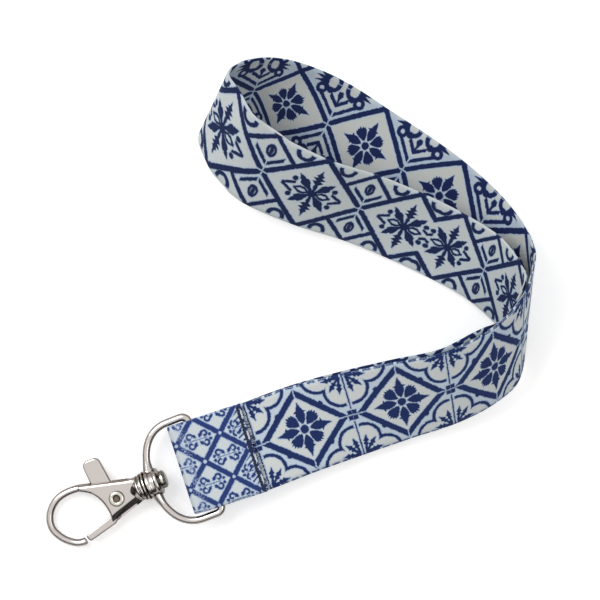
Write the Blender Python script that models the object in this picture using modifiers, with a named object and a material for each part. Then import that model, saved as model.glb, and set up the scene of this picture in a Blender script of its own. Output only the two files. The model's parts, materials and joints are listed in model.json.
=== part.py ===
"""Wrist lanyard: a printed webbing loop sewn into a tab round a D-ring, with a
swivelling trigger hook.

The lanyard lies on a table (z = 0).  +X runs from the hook towards the far end
of the loop, +Z is up, and the origin is under the middle of the whole object.
The D-ring turns about its straight bar, the hook turns about the swivel rivet,
and the gate lever turns about the pivot rivet.
"""
import bpy
import bmesh
from math import atan2, ceil, cos, degrees, pi, radians, sin
from mathutils import Matrix, Vector

MM = 0.001

# Webbing
STRAP_WIDTH = 25.0 * MM
STRAP_THICK = 1.0 * MM
TAB_THICK = 1.0 * MM
TAB_OVERHANG = 0.1 * MM        # the tab is this much wider than the strap at each edge
TAB_REACH = 14.4 * MM          # ring bar to the sewn end of the tab
TAB_FOLD = 7.3 * MM            # ring bar to the tab's folded end
TAB_TURN = radians(-3.5)       # the webbing leaves the ring at a slight slant
STRAP_RECESS = 2.5 * MM        # ring wire to the strap's cut ends, inside the tab
SEAM_INSET = 0.9 * MM          # tab end to the row of stitches
SEAM_DIP = 0.1 * MM            # how far the stitches pull the tab's hem in
THREAD_RADIUS = 0.3 * MM
STITCHES = 14
SEAT_GAP = 0.3 * MM            # clearance between pieces that touch

# D-ring
RING_WIRE = 1.1 * MM           # radius
RING_SIDE_PLAY = 0.8 * MM      # webbing edge to the ring's side, each side
RING_DEPTH = 16.0 * MM         # middle of the bar to the middle of the arc
RING_CORNER = 1.9 * MM
RING_SHOULDER = 5.5 * MM       # where the sides start to curve
RING_SQUARENESS = 2.3          # 2 would be a true ellipse
BOSS_LENGTH = 3.3 * MM

# Swivel
STEM_RADIUS = 1.3 * MM
STEM_DEPTH = 2.3 * MM          # how far the stem runs into the hook
RUNNING_GAP = 0.3 * MM
HEAD_LIP = 1.3 * MM            # rivet head beyond its stem
HEAD_LENGTH = 1.7 * MM
WASHER_RADIUS = 4.15 * MM
WASHER_THICK = 0.8 * MM
BOSS_INSET = 0.15 * MM         # the boss is this much smaller than the washer
NECK_INSET = 0.25 * MM         # and so is the hook's neck

# Hook
HOOK_LENGTH = 29.1 * MM        # neck face to the middle of the claw's far bend
NECK_LENGTH = 1.3 * MM
NECK_OVERLAP = 0.6 * MM
CLAW_WIRE = 1.05 * MM          # radius
LEVER_HALF = 1.0 * MM          # half of the lever's thickness
LEVER_PLAY = 0.4 * MM          # lever to cheek
CHEEK_WALL = 1.0 * MM
PIVOT_SHANK = 1.2 * MM         # radius
PIVOT_LIP = 1.0 * MM           # pivot head beyond its shank
PIVOT_DIMPLE = 1.1 * MM        # radius of the hollow in each pivot head
PIVOT_HEAD_THICK = 0.5 * MM
THUMB_HEIGHT = 12.7 * MM       # hook axis to the tip of the thumb tab
THUMB_ROUND = 1.9 * MM
GATE_GAP = 0.35 * MM           # gate end to the claw's nose
SPRING_WIRE = 0.14 * MM        # radius
SPRING_TURNS = 2.6
SPRING_PLAY = 0.66 * MM        # pivot shank to the inside of the coil
HUB_WALL = 0.66 * MM           # metal round the spring's pocket

# Route of the strap's middle line, outwards from the ring's bar, in millimetres
# for webbing 25 mm wide; a wider webbing is laid out larger in proportion.
# x, y, height of the lower edge, then the direction of the width and its slope
# in degrees.  The strap leaves the ring, folds back to the left underneath,
# turns over at the far left corner and comes back inside its own bend.
ROUTE_UNIT = STRAP_WIDTH / 25
OUTGOING = (
    (29.6, -1.3, 5.2, 86, 8),
    (43.6, -2.4, 3.8, 85, 18),
    (57.7, -3.8, 3.9, 82, 28),
    (71.3, -5.1, 6.3, 80, 38),
    (84.6, -3.4, 9.6, 78, 42),
)
LOOP = (
    (94.2, 1.2, 10.4, 72, 40),
    (100.8, 10.6, 6.4, 67, 40),
    (100.9, 16.6, 2.9, 57, 39),
    (98.9, 22.2, 1.5, 47, 36),
    (94.8, 32.9, 1.2, 37, 31),
    (88.6, 45.7, 0.9, 33, 31),
    (81.7, 56.2, 1.0, 36, 28),
    (74.5, 66.3, 0.9, 39, 27),
    (67.5, 76.5, 0.8, 42, 32),
    (59.4, 86.4, 0.8, 41, 45),
    (52.0, 92.5, 1.4, 38, 55),
    (42.9, 93.3, 4.8, 35, 50),
    (39.0, 90.6, 8.1, 39, 45),
    (39.3, 84.3, 10.7, 42, 39),
    (40.8, 77.0, 10.8, 40, 42),
    (45.0, 69.5, 10.3, 41, 38),
    (55.4, 58.9, 7.5, 38, 40),
    (66.2, 50.4, 4.6, 39, 40),
    (76.0, 41.3, 2.6, 40, 40),
    (85.2, 31.4, 1.9, 43, 41),
    (92.4, 21.9, 2.3, 50, 43),
    (96.1, 12.5, 3.0, 60, 46),
    (96.5, 5.8, 5.1, 68, 43),
    (91.3, -0.1, 7.2, 75, 42),
)
STRAP_STEP = 3.5 * MM          # length of strap between two rows of its mesh
STRAP_COLUMNS = 4

# Sizes that follow from the ones above
STRAP_END = RING_WIRE + STRAP_RECESS
BOSS_RADIUS = WASHER_RADIUS - BOSS_INSET
NECK_RADIUS = WASHER_RADIUS - NECK_INSET
HEAD_RADIUS = STEM_RADIUS + HEAD_LIP
PIVOT_HEAD = PIVOT_SHANK + PIVOT_LIP
SLOT_HALF = LEVER_HALF + LEVER_PLAY
CHEEK_HALF = SLOT_HALF + CHEEK_WALL
SPRING_RADIUS = PIVOT_SHANK + SPRING_PLAY + SPRING_WIRE
POCKET_RADIUS = SPRING_RADIUS + SPRING_WIRE + SEAT_GAP
HUB_RADIUS = POCKET_RADIUS + HUB_WALL
COIL_PITCH = 2 * SPRING_WIRE + 0.04 * MM
COIL_HEIGHT = COIL_PITCH * SPRING_TURNS + 2 * SPRING_WIRE
POCKET_FLOOR = SLOT_HALF - SEAT_GAP / 2 - COIL_HEIGHT - SEAT_GAP

# Places along the hook's axis, measured from the ring's bar
BOSS_X = -RING_DEPTH - RING_WIRE + BOSS_LENGTH / 2    # its outer face is level with the wire
WASHER_X = BOSS_X - BOSS_LENGTH / 2 - SEAT_GAP - WASHER_THICK / 2
NECK_X = WASHER_X - WASHER_THICK / 2 - SEAT_GAP
BORE_DEPTH = STEM_DEPTH + 2 * SEAT_GAP
SLOT_END = NECK_X - BORE_DEPTH - 0.6 * MM
CLAW_REACH = HOOK_LENGTH - NECK_X

# The hook's outlines are drawn in millimetres from its neck for a 29.1 mm hook
HOOK_UNIT = HOOK_LENGTH / 29.1
# the hub keeps clear of the slot's end, which stops short of the rivet's bore
PIVOT_X = min(NECK_X - 8.1 * HOOK_UNIT, SLOT_END - HUB_RADIUS - LEVER_PLAY)
PIVOT_Y = -0.3 * HOOK_UNIT

# The tilt that rests both the washer and the claw on the table
TABLE_GAP = 0.1 * MM
HOOK_PITCH = atan2(WASHER_RADIUS - CLAW_WIRE, CLAW_REACH + WASHER_X)
BAR_HEIGHT = WASHER_RADIUS * cos(HOOK_PITCH) - WASHER_X * sin(HOOK_PITCH) + TABLE_GAP

COLOURS = {
    "webbing": ((0.62, 0.66, 0.72, 1), 0.85, 0.0),
    "thread": ((0.02, 0.03, 0.10, 1), 0.6, 0.0),
    "nickel": ((0.72, 0.70, 0.67, 1), 0.22, 1.0),
    "spring_steel": ((0.5, 0.5, 0.52, 1), 0.35, 1.0),
}


# ---------------------------------------------------------------- helpers

def clear_scene():
    for obj in list(bpy.data.objects):
        bpy.data.objects.remove(obj, do_unlink=True)


def new_collection(name):
    collection = bpy.data.collections.new(name)
    bpy.context.scene.collection.children.link(collection)
    return collection


def give_material(obj, finish):
    colour, roughness, metallic = COLOURS[finish]
    material = bpy.data.materials.new(obj.name + "_finish")
    material.use_nodes = True
    shader = material.node_tree.nodes["Principled BSDF"]
    shader.inputs["Base Color"].default_value = colour
    shader.inputs["Roughness"].default_value = roughness
    shader.inputs["Metallic"].default_value = metallic
    obj.data.materials.clear()
    obj.data.materials.append(material)


def add_object(name, data, collection, finish=None, parent=None):
    obj = bpy.data.objects.new(name, data)
    collection.objects.link(obj)
    if parent is not None:
        obj.parent = parent
    if finish is not None:
        give_material(obj, finish)
    return obj


def mesh_from(bm, name, smooth_angle=radians(35)):
    bmesh.ops.recalc_face_normals(bm, faces=bm.faces)
    mesh = bpy.data.meshes.new(name)
    bm.to_mesh(mesh)
    bm.free()
    mesh.shade_smooth()
    mesh.set_sharp_from_angle(angle=smooth_angle)
    return mesh


def solid_from_curve(curve_obj):
    """Replace a curve object by a closed mesh object of the same shape."""
    bpy.context.view_layer.update()
    evaluated = curve_obj.evaluated_get(bpy.context.evaluated_depsgraph_get())
    mesh = bpy.data.meshes.new_from_object(evaluated)
    bm = bmesh.new()
    bm.from_mesh(mesh)
    bmesh.ops.remove_doubles(bm, verts=bm.verts, dist=0.00001)
    bmesh.ops.recalc_face_normals(bm, faces=bm.faces)
    bm.to_mesh(mesh)
    bm.free()
    name = curve_obj.name
    collection = curve_obj.users_collection[0]
    parent = curve_obj.parent
    local = curve_obj.matrix_local.copy()
    curve_obj.name = name + "_curve"
    solid = add_object(name, mesh, collection, parent=parent)
    solid.matrix_local = local
    bpy.data.objects.remove(curve_obj, do_unlink=True)
    return solid


def wire(name, points, radius, collection, parent=None, closed=False, sides=2):
    curve = bpy.data.curves.new(name, "CURVE")
    curve.dimensions = "3D"
    curve.bevel_depth = radius
    curve.bevel_resolution = sides
    curve.use_fill_caps = not closed
    spline = curve.splines.new("POLY")
    spline.points.add(len(points) - 1)
    for point, place in zip(spline.points, points):
        point.co = (*place, 1)
    spline.use_cyclic_u = closed
    return add_object(name, curve, collection, parent=parent)


def plate(name, outline, half_thickness, collection, parent=None):
    """A flat outline given a thickness either side of its own plane."""
    curve = bpy.data.curves.new(name, "CURVE")
    curve.dimensions = "2D"
    curve.fill_mode = "BOTH"
    curve.extrude = half_thickness
    spline = curve.splines.new("POLY")
    spline.points.add(len(outline) - 1)
    for point, (x, y) in zip(spline.points, outline):
        point.co = (x, y, 0, 1)
    spline.use_cyclic_u = True
    return solid_from_curve(add_object(name, curve, collection, parent=parent))


def cylinder(name, radius, length, collection, parent=None, sides=32):
    """A cylinder about its own Z axis, centred on its origin."""
    bm = bmesh.new()
    bmesh.ops.create_cone(bm, cap_ends=True, segments=sides, radius1=radius,
                          radius2=radius, depth=length)
    return add_object(name, mesh_from(bm, name), collection, parent=parent)


def block(name, low, high, collection, parent=None):
    bm = bmesh.new()
    size = Vector(high) - Vector(low)
    middle = (Vector(high) + Vector(low)) / 2
    bmesh.ops.create_cube(bm, size=1, matrix=Matrix.Translation(middle)
                          @ Matrix.Diagonal((*size, 1)))
    return add_object(name, mesh_from(bm, name), collection, parent=parent)


def turned(name, profile, collection, finish, parent, sides=28):
    """Turn a profile of (radius, height) points, listed from the top down, about Z."""
    bm = bmesh.new()
    ring = [bm.verts.new((radius, 0, height)) for radius, height in profile]
    for first, second in zip(ring, ring[1:]):
        bm.edges.new((first, second))
    mesh = bpy.data.meshes.new(name)
    bm.to_mesh(mesh)
    bm.free()
    obj = add_object(name, mesh, collection, finish, parent)
    screw = obj.modifiers.new("turn", "SCREW")
    screw.steps = sides
    screw.render_steps = sides
    screw.use_merge_vertices = True
    screw.merge_threshold = 0.00001
    return obj


def combine(obj, tool, operation):
    """Add a live Boolean and hide its tool."""
    modifier = obj.modifiers.new(tool.name, "BOOLEAN")
    modifier.operation = operation
    modifier.solver = "EXACT"
    modifier.object = tool
    tool.hide_render = True
    tool.display_type = "WIRE"


def arc(centre, radius, start, end, steps):
    """Points along an arc, angles in degrees."""
    angles = [radians(start + (end - start) * i / steps) for i in range(steps + 1)]
    return [(centre[0] + radius * cos(a), centre[1] + radius * sin(a)) for a in angles]


def smooth_route(values, samples_per_span):
    """Catmull-Rom through rows of equal length."""
    rows = [tuple(Vector(values[0][:3]) * 2 - Vector(values[1][:3])) + values[0][3:]]
    rows += values
    rows.append(tuple(Vector(values[-1][:3]) * 2 - Vector(values[-2][:3])) + values[-1][3:])
    result = []
    for i in range(1, len(rows) - 2):
        before, here, there, after = rows[i - 1:i + 3]
        for k in range(samples_per_span):
            t = k / samples_per_span
            weights = (-t + 2 * t ** 2 - t ** 3, 2 - 5 * t ** 2 + 3 * t ** 3,
                       t + 4 * t ** 2 - 3 * t ** 3, -t ** 2 + t ** 3)
            result.append(tuple(sum(w * row[j] for w, row in zip(
                weights, (before, here, there, after))) / 2 for j in range(len(here))))
    result.append(rows[-2])
    return result


# ---------------------------------------------------------------- webbing

def width_direction(heading, slope):
    return Vector((cos(slope) * cos(heading), cos(slope) * sin(heading), sin(slope)))


def strap_stations():
    """Centre, width heading and width slope at each station, in metres and radians."""
    ply = (STRAP_THICK + SEAT_GAP) / 2
    heading = pi / 2 + TAB_TURN

    def near_ring(distance, side):
        return (distance * cos(TAB_TURN), distance * sin(TAB_TURN),
                BAR_HEIGHT + side * ply, heading, 0.0)

    def placed(row):
        x, y, lift, turn, slope = row
        rise = STRAP_WIDTH / 2 * sin(radians(slope))
        return (x * ROUTE_UNIT, y * ROUTE_UNIT, lift * ROUTE_UNIT + rise,
                radians(turn), radians(slope))

    out = [near_ring(d, 1) for d in (STRAP_END, (STRAP_END + TAB_REACH) / 2, TAB_REACH)]
    out += [placed(row) for row in OUTGOING]
    back = []
    for here, ahead in zip(out[3:], out[4:] + [placed(LOOP[0])]):
        run = Vector(ahead[:3]) - Vector(here[:3])
        normal = run.cross(width_direction(here[3], here[4])).normalized()
        centre = Vector(here[:3]) - normal * (STRAP_THICK + 2 * SEAT_GAP)
        back.insert(0, tuple(centre) + here[3:])
    back += [near_ring(d, -1) for d in (TAB_REACH, (STRAP_END + TAB_REACH) / 2, STRAP_END)]
    return out + [placed(row) for row in LOOP] + back


def even_rows(route, step):
    """Pick rows of a finely sampled route about one step apart."""
    length = 0.0
    marks = [0.0]
    for first, second in zip(route, route[1:]):
        length += (Vector(second[:3]) - Vector(first[:3])).length
        marks.append(length)
    count = ceil(length / step)
    rows = []
    k = 0
    for i in range(count + 1):
        target = length * i / count
        while k < len(marks) - 2 and marks[k + 1] < target:
            k += 1
        t = (target - marks[k]) / (marks[k + 1] - marks[k])
        rows.append(tuple(a + (b - a) * t for a, b in zip(route[k], route[k + 1])))
    return rows


def build_strap(collection):
    rows = even_rows(smooth_route(strap_stations(), 12), STRAP_STEP)
    bm = bmesh.new()
    grid = []
    for i, row in enumerate(rows):
        centre = Vector(row[:3])
        ahead = Vector(rows[min(i + 1, len(rows) - 1)][:3])
        behind = Vector(rows[max(i - 1, 0)][:3])
        ruling = width_direction(row[3], row[4])
        shear = ruling.cross((ahead - behind).normalized()).length
        half = ruling * (STRAP_WIDTH / 2 / shear)
        shares = [2 * c / STRAP_COLUMNS - 1 for c in range(STRAP_COLUMNS + 1)]
        grid.append([bm.verts.new(centre + half * share) for share in shares])
    for first, second in zip(grid, grid[1:]):
        for c in range(STRAP_COLUMNS):
            bm.faces.new((first[c], second[c], second[c + 1], first[c + 1]))
    mesh = bpy.data.meshes.new("strap_webbing")
    bm.to_mesh(mesh)
    bm.free()
    strap = add_object("strap_webbing", mesh, collection, "webbing")
    thicken(strap, STRAP_THICK)


def thicken(obj, thickness):
    solidify = obj.modifiers.new("thickness", "SOLIDIFY")
    solidify.thickness = thickness
    solidify.offset = 0
    solidify.use_even_offset = True


def build_tab(collection):
    """A strip of webbing folded round the ring's bar, its two ends outside the strap."""
    pocket = max(STRAP_THICK + SEAT_GAP / 2, RING_WIRE)
    stack = pocket + SEAT_GAP + TAB_THICK / 2
    nose = stack - 0.7 * MM
    half = STRAP_WIDTH / 2 + TAB_OVERHANG
    flank = RING_WIRE + SEAT_GAP + half * abs(sin(TAB_TURN))
    hem = stack - SEAM_DIP
    side = [(TAB_REACH, hem), (TAB_REACH - 2 * SEAM_INSET, hem),
            (TAB_REACH - 3 * SEAM_INSET, stack), (-flank, stack)]
    bend = arc((-(TAB_FOLD - TAB_THICK / 2 - nose), 0), nose, 100, 260, 8)
    outline = side + bend + [(x, -z) for x, z in reversed(side)]
    bm = bmesh.new()
    near = [bm.verts.new((x, -half, z)) for x, z in outline]
    far = [bm.verts.new((x, half, z)) for x, z in outline]
    for i in range(len(outline) - 1):
        bm.faces.new((near[i], near[i + 1], far[i + 1], far[i]))
    mesh = bpy.data.meshes.new("ring_tab")
    bm.to_mesh(mesh)
    bm.free()
    tab = add_object("ring_tab", mesh, collection, "webbing")
    tab.location = (0, 0, BAR_HEIGHT)
    tab.rotation_euler = (0, 0, TAB_TURN)
    thicken(tab, TAB_THICK)
    return stack + TAB_THICK / 2


def build_threads(collection, tab_half):
    """The needle thread lies zigzag on the tab, the bobbin thread under it."""
    offset = tab_half - SEAM_DIP + SEAT_GAP + THREAD_RADIUS
    half = STRAP_WIDTH / 2 - 0.8 * MM
    for name, side in (("needle_thread", 1), ("bobbin_thread", -1)):
        points = []
        for i in range(STITCHES + 1):
            swing = 0.25 * MM if i % 2 else -0.25 * MM
            points.append((TAB_REACH - SEAM_INSET + swing,
                           -half + 2 * half * i / STITCHES, side * offset))
        thread = solid_from_curve(wire(name, points, THREAD_RADIUS, collection, sides=1))
        thread.location = (0, 0, BAR_HEIGHT)
        thread.rotation_euler = (0, 0, TAB_TURN)
        give_material(thread, "thread")


# ---------------------------------------------------------------- D-ring

def ring_outline():
    """Middle line of the D-ring's wire: bar on the Y axis, arc towards -X."""
    half = STRAP_WIDTH / 2 + RING_SIDE_PLAY + RING_WIRE
    depth = RING_DEPTH - RING_SHOULDER
    quarter = [(-RING_CORNER + RING_CORNER * cos(a), half - RING_CORNER + RING_CORNER * sin(a))
               for a in (radians(d) for d in (0, 30, 60, 90))]
    for i in range(13):
        angle = pi / 2 * i / 12
        x = depth * sin(angle) ** (2 / RING_SQUARENESS)
        y = half * max(cos(angle), 0) ** (2 / RING_SQUARENESS)
        quarter.append((-RING_SHOULDER - x, y))
    quarter.insert(0, (0, 0))
    mirrored = [(x, -y) for x, y in reversed(quarter[1:-1])]
    return [(x, y, 0) for x, y in quarter + mirrored]


def build_ring(collection, tools, pivot):
    ring = solid_from_curve(wire("d_ring", ring_outline(), RING_WIRE, collection,
                                 parent=pivot, closed=True))
    boss = cylinder("ring_boss", BOSS_RADIUS, BOSS_LENGTH, tools, parent=pivot)
    bore = cylinder("ring_bore", STEM_RADIUS + RUNNING_GAP, BOSS_LENGTH * 2, tools,
                    parent=pivot, sides=24)
    for tool in (boss, bore):
        tool.location = (BOSS_X, 0, 0)
        tool.rotation_euler = (0, pi / 2, 0)
    combine(ring, boss, "UNION")
    combine(ring, bore, "DIFFERENCE")
    give_material(ring, "nickel")


# ---------------------------------------------------------------- swivel

def build_swivel(collection, swivel):
    """Rivet through the boss into the hook's neck, with a washer between."""
    head_top = BOSS_X + BOSS_LENGTH / 2 + SEAT_GAP + HEAD_LENGTH
    stem_end = NECK_X - STEM_DEPTH
    chamfer = 0.4 * MM
    rivet = turned("swivel_rivet", (
        (0, head_top), (HEAD_RADIUS - chamfer, head_top),
        (HEAD_RADIUS, head_top - chamfer), (HEAD_RADIUS, head_top - HEAD_LENGTH + chamfer / 2),
        (HEAD_RADIUS - chamfer / 2, head_top - HEAD_LENGTH),
        (STEM_RADIUS, head_top - HEAD_LENGTH), (STEM_RADIUS, stem_end), (0, stem_end)),
        collection, "nickel", swivel)
    low = WASHER_X - WASHER_THICK / 2
    hole = STEM_RADIUS + RUNNING_GAP
    edge = 0.25 * MM
    washer = turned("swivel_washer", (
        (hole, low + WASHER_THICK), (WASHER_RADIUS - edge, low + WASHER_THICK),
        (WASHER_RADIUS, low + WASHER_THICK - edge), (WASHER_RADIUS, low + edge),
        (WASHER_RADIUS - edge, low), (hole, low), (hole, low + WASHER_THICK)),
        collection, "nickel", swivel)
    for piece in (rivet, washer):
        piece.rotation_euler = (0, pi / 2, 0)


# ---------------------------------------------------------------- hook

def from_neck(points):
    """Outline points drawn from the hook's neck, moved to the ring's bar."""
    return [(NECK_X + x * HOOK_UNIT, y * HOOK_UNIT) for x, y in points]


def scaled(points):
    return [(x * HOOK_UNIT, y * HOOK_UNIT) for x, y in points]


def claw_route():
    """Middle line of the claw, from inside the body round to its nose."""
    guide = from_neck([(-12.0, 4.3), (-15.9, 5.75), (-20.1, 6.35), (-24.1, 5.75),
                       (-27.1, 3.75), (-28.85, 0.9), (-29.05, -2.3), (-27.2, -5.6),
                       (-24.5, -7.8), (-22.4, -8.45), (-20.9, -8.35)])
    nose_x, nose_y = guide.pop()
    rows = [(x, y, 0) for x, y in guide] + [(nose_x - GATE_GAP, nose_y, 0)]
    return smooth_route(rows, 4)


def body_outline():
    """The hook's body from above: tail, upper edge, hollow front, lower edge."""
    tail = NECK_X - NECK_LENGTH
    upper = from_neck([(-4.1, 3.75), (-8.1, 4.7), (-14.2, 6.2), (-17.7, 7.05)])
    front = from_neck([(-17.7, 5.2), (-16.1, 4.45), (-14.1, 2.95), (-12.7, 0.6),
                       (-11.9, -2.1), (-11.7, -4.5), (-12.0, -6.75)])
    return [(tail, 0.85 * NECK_RADIUS)] + upper + front + [(tail, -0.92 * NECK_RADIUS)]


def build_hook(collection, tools, swivel):
    body = plate("hook_body", body_outline(), CHEEK_HALF, collection, swivel)
    claw = solid_from_curve(wire("claw_bar", claw_route(), CLAW_WIRE, tools, parent=swivel))
    collar_length = NECK_LENGTH + NECK_OVERLAP
    neck = cylinder("neck_collar", NECK_RADIUS, collar_length, tools, parent=swivel)
    neck.location = (NECK_X - collar_length / 2, 0, 0)
    bore = cylinder("neck_bore", STEM_RADIUS + RUNNING_GAP, BORE_DEPTH * 2, tools,
                    parent=swivel, sides=24)
    bore.location = (NECK_X, 0, 0)
    for tool in (neck, bore):
        tool.rotation_euler = (0, pi / 2, 0)
    slot = block("lever_slot", (NECK_X - 14.8 * HOOK_UNIT, -THUMB_HEIGHT, -SLOT_HALF),
                 (SLOT_END, THUMB_HEIGHT, SLOT_HALF), tools, parent=swivel)
    eye = cylinder("pivot_eye", PIVOT_SHANK + RUNNING_GAP, CHEEK_HALF * 4, tools,
                   parent=swivel, sides=20)
    eye.location = (PIVOT_X, PIVOT_Y, 0)
    combine(body, claw, "UNION")
    combine(body, neck, "UNION")
    for tool in (bore, slot, eye):
        combine(body, tool, "DIFFERENCE")
    give_material(body, "nickel")


def lever_outline():
    """Thumb tab, hub and gate bar, in millimetres from the pivot."""
    centre_y = THUMB_HEIGHT - PIVOT_Y - THUMB_ROUND
    tab = scaled([(-0.3, 4.9)]) + arc((-3.0 * HOOK_UNIT, centre_y), THUMB_ROUND, 10, 75, 3) \
        + arc((-4.35 * HOOK_UNIT, centre_y), THUMB_ROUND, 105, 185, 4)
    front = scaled([(-5.8, 5.0), (-4.4, 2.2), (-3.6, -1.0), (-3.7, -4.2)])
    gate = scaled([(-12.3, -7.0), (-11.55, -8.7), (-3.3, -6.6)])
    hub = arc((0, 0), HUB_RADIUS, -75, 62, 9)
    return tab + front + gate + hub


def build_lever(collection, tools, gate_pivot):
    lever = plate("gate_lever", lever_outline(), LEVER_HALF, collection, gate_pivot)
    eye = cylinder("lever_eye", PIVOT_SHANK + RUNNING_GAP, LEVER_HALF * 4, tools,
                   parent=gate_pivot, sides=20)
    pocket = cylinder("spring_pocket", POCKET_RADIUS, 4 * LEVER_HALF, tools,
                      parent=gate_pivot, sides=24)
    pocket.location = (0, 0, POCKET_FLOOR + 2 * LEVER_HALF)
    notch = block("spring_notch", (0, -POCKET_RADIUS / 2, POCKET_FLOOR),
                  (2 * HUB_RADIUS, HUB_RADIUS + SEAT_GAP, 3 * LEVER_HALF), tools,
                  parent=gate_pivot)
    for tool in (eye, pocket, notch):
        combine(lever, tool, "DIFFERENCE")
    give_material(lever, "nickel")


def build_spring(collection, swivel):
    """Torsion spring in the lever's pocket, one leg against the end of the slot."""
    low = POCKET_FLOOR + SEAT_GAP + SPRING_WIRE
    per_turn = 12
    count = int(per_turn * SPRING_TURNS)
    points = []
    for i in range(count + 1):
        angle = pi / 2 + 2 * pi * SPRING_TURNS * (1 - i / count)
        points.append((PIVOT_X + SPRING_RADIUS * cos(angle),
                       PIVOT_Y + SPRING_RADIUS * sin(angle),
                       low + COIL_PITCH * i / per_turn))
    last = points[-1]
    points.append((SLOT_END - SPRING_WIRE - SEAT_GAP, last[1], last[2]))
    spring = solid_from_curve(wire("gate_spring", points, SPRING_WIRE, collection,
                                   parent=swivel, sides=1))
    give_material(spring, "spring_steel")


def build_pivot_rivet(collection, swivel):
    top = CHEEK_HALF + SEAT_GAP + PIVOT_HEAD_THICK
    under = CHEEK_HALF + SEAT_GAP
    dimple = 0.35 * MM
    edge = 0.15 * MM
    upper = ((0, top - dimple), (PIVOT_DIMPLE - edge, top - dimple), (PIVOT_DIMPLE, top),
             (PIVOT_HEAD - edge, top), (PIVOT_HEAD, top - edge), (PIVOT_HEAD, under),
             (PIVOT_SHANK, under))
    lower = tuple((radius, -height) for radius, height in reversed(upper))
    rivet = turned("pivot_rivet", upper + lower, collection, "nickel", swivel, sides=24)
    rivet.location = (PIVOT_X, PIVOT_Y, 0)


# ---------------------------------------------------------------- assembly

def centre_on_origin(parts, roots):
    """Move the whole lanyard so the origin is under the middle of its box."""
    bpy.context.view_layer.update()
    depsgraph = bpy.context.evaluated_depsgraph_get()
    corners = []
    for obj in parts.objects:
        evaluated = obj.evaluated_get(depsgraph)
        mesh = evaluated.to_mesh()
        corners += [evaluated.matrix_world @ v.co for v in mesh.vertices]
        evaluated.to_mesh_clear()
    low = Vector([min(c[i] for c in corners) for i in range(3)])
    high = Vector([max(c[i] for c in corners) for i in range(3)])
    shift = Vector((-(low.x + high.x) / 2, -(low.y + high.y) / 2, -low.z))
    for obj in roots:
        obj.location += shift
    bpy.context.view_layer.update()
    return low, high


def build():
    clear_scene()
    parts = new_collection("wrist_lanyard")
    tools = new_collection("cutters")
    pivot = add_object("ring_pivot", None, tools)
    pivot.location = (0, 0, BAR_HEIGHT)
    pivot.rotation_euler = (0, -HOOK_PITCH, 0)
    swivel = add_object("hook_swivel", None, tools, parent=pivot)
    gate_pivot = add_object("gate_pivot", None, tools, parent=swivel)
    gate_pivot.location = (PIVOT_X, PIVOT_Y, 0)

    build_strap(parts)
    tab_half = build_tab(parts)
    build_threads(parts, tab_half)
    build_ring(parts, tools, pivot)
    build_swivel(parts, swivel)
    build_hook(parts, tools, swivel)
    build_lever(parts, tools, gate_pivot)
    build_spring(parts, swivel)
    build_pivot_rivet(parts, swivel)

    roots = [obj for obj in bpy.data.objects if obj.parent is None]
    low, high = centre_on_origin(parts, roots)
    print("size mm", [round(1000 * (h - l), 1) for l, h in zip(low, high)])
    print("ring bar", [round(v, 5) for v in pivot.matrix_world.translation])
    print("gate pivot", [round(v, 5) for v in gate_pivot.matrix_world.translation])
    print("hook pitch", round(degrees(HOOK_PITCH), 3))


build()
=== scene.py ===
# %% [markdown]
# # A printed wrist lanyard with a swivel hook
# The lanyard is a loop of printed webbing, sewn into a small folded tab.  The
# tab holds a D-ring, and a trigger hook turns on a rivet through the ring.
# The frame brings in the engineering model: its pieces already lie in the right
# place and at the right size.  Everything here is measured from it, in metres.

# %% Load the frame
import bpy
import bmesh
import json
import random
from math import atan2, ceil, cos, degrees, pi, radians, sin
from mathutils import Matrix, Vector


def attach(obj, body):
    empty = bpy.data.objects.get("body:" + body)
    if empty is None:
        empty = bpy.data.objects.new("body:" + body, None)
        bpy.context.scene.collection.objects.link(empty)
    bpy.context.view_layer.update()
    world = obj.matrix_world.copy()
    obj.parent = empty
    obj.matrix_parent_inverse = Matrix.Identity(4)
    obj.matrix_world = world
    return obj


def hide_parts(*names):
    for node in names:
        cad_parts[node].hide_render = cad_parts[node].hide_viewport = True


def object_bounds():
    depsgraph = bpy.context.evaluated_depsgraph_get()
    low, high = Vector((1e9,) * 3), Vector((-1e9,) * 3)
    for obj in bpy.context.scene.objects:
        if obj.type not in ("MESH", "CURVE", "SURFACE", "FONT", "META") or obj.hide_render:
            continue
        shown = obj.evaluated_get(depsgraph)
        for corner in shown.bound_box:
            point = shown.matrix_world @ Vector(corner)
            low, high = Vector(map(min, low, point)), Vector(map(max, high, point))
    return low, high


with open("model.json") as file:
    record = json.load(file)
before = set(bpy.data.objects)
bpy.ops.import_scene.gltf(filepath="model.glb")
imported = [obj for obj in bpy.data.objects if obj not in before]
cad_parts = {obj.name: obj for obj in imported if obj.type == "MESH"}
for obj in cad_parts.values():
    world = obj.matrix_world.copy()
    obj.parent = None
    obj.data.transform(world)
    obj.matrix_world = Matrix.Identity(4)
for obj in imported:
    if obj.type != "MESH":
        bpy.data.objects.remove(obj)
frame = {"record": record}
cad_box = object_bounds()
MM = 0.001
bpy.ops.object.select_all(action="DESELECT")
joints = {joint["name"]: joint for joint in frame["record"]["behaviour"]["joints"]}
RING_BAR = Vector(joints["ring_swing"]["pos_m"])
SWIVEL_AXIS = Vector(joints["hook_swivel"]["axis"]).normalized()
HOOK_PITCH = atan2(SWIVEL_AXIS.z, SWIVEL_AXIS.x)
print("ring bar", [round(v, 4) for v in RING_BAR], "pitch", round(degrees(HOOK_PITCH), 2))

# %% [markdown]
# ## Camera
# A lanyard is shown laid flat and seen from straight above.  The camera hangs
# 0.48 m over the table and is turned about its own axis, so the hook points to
# the lower left.  A long lens keeps the raised parts of the strap from swelling.

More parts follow.
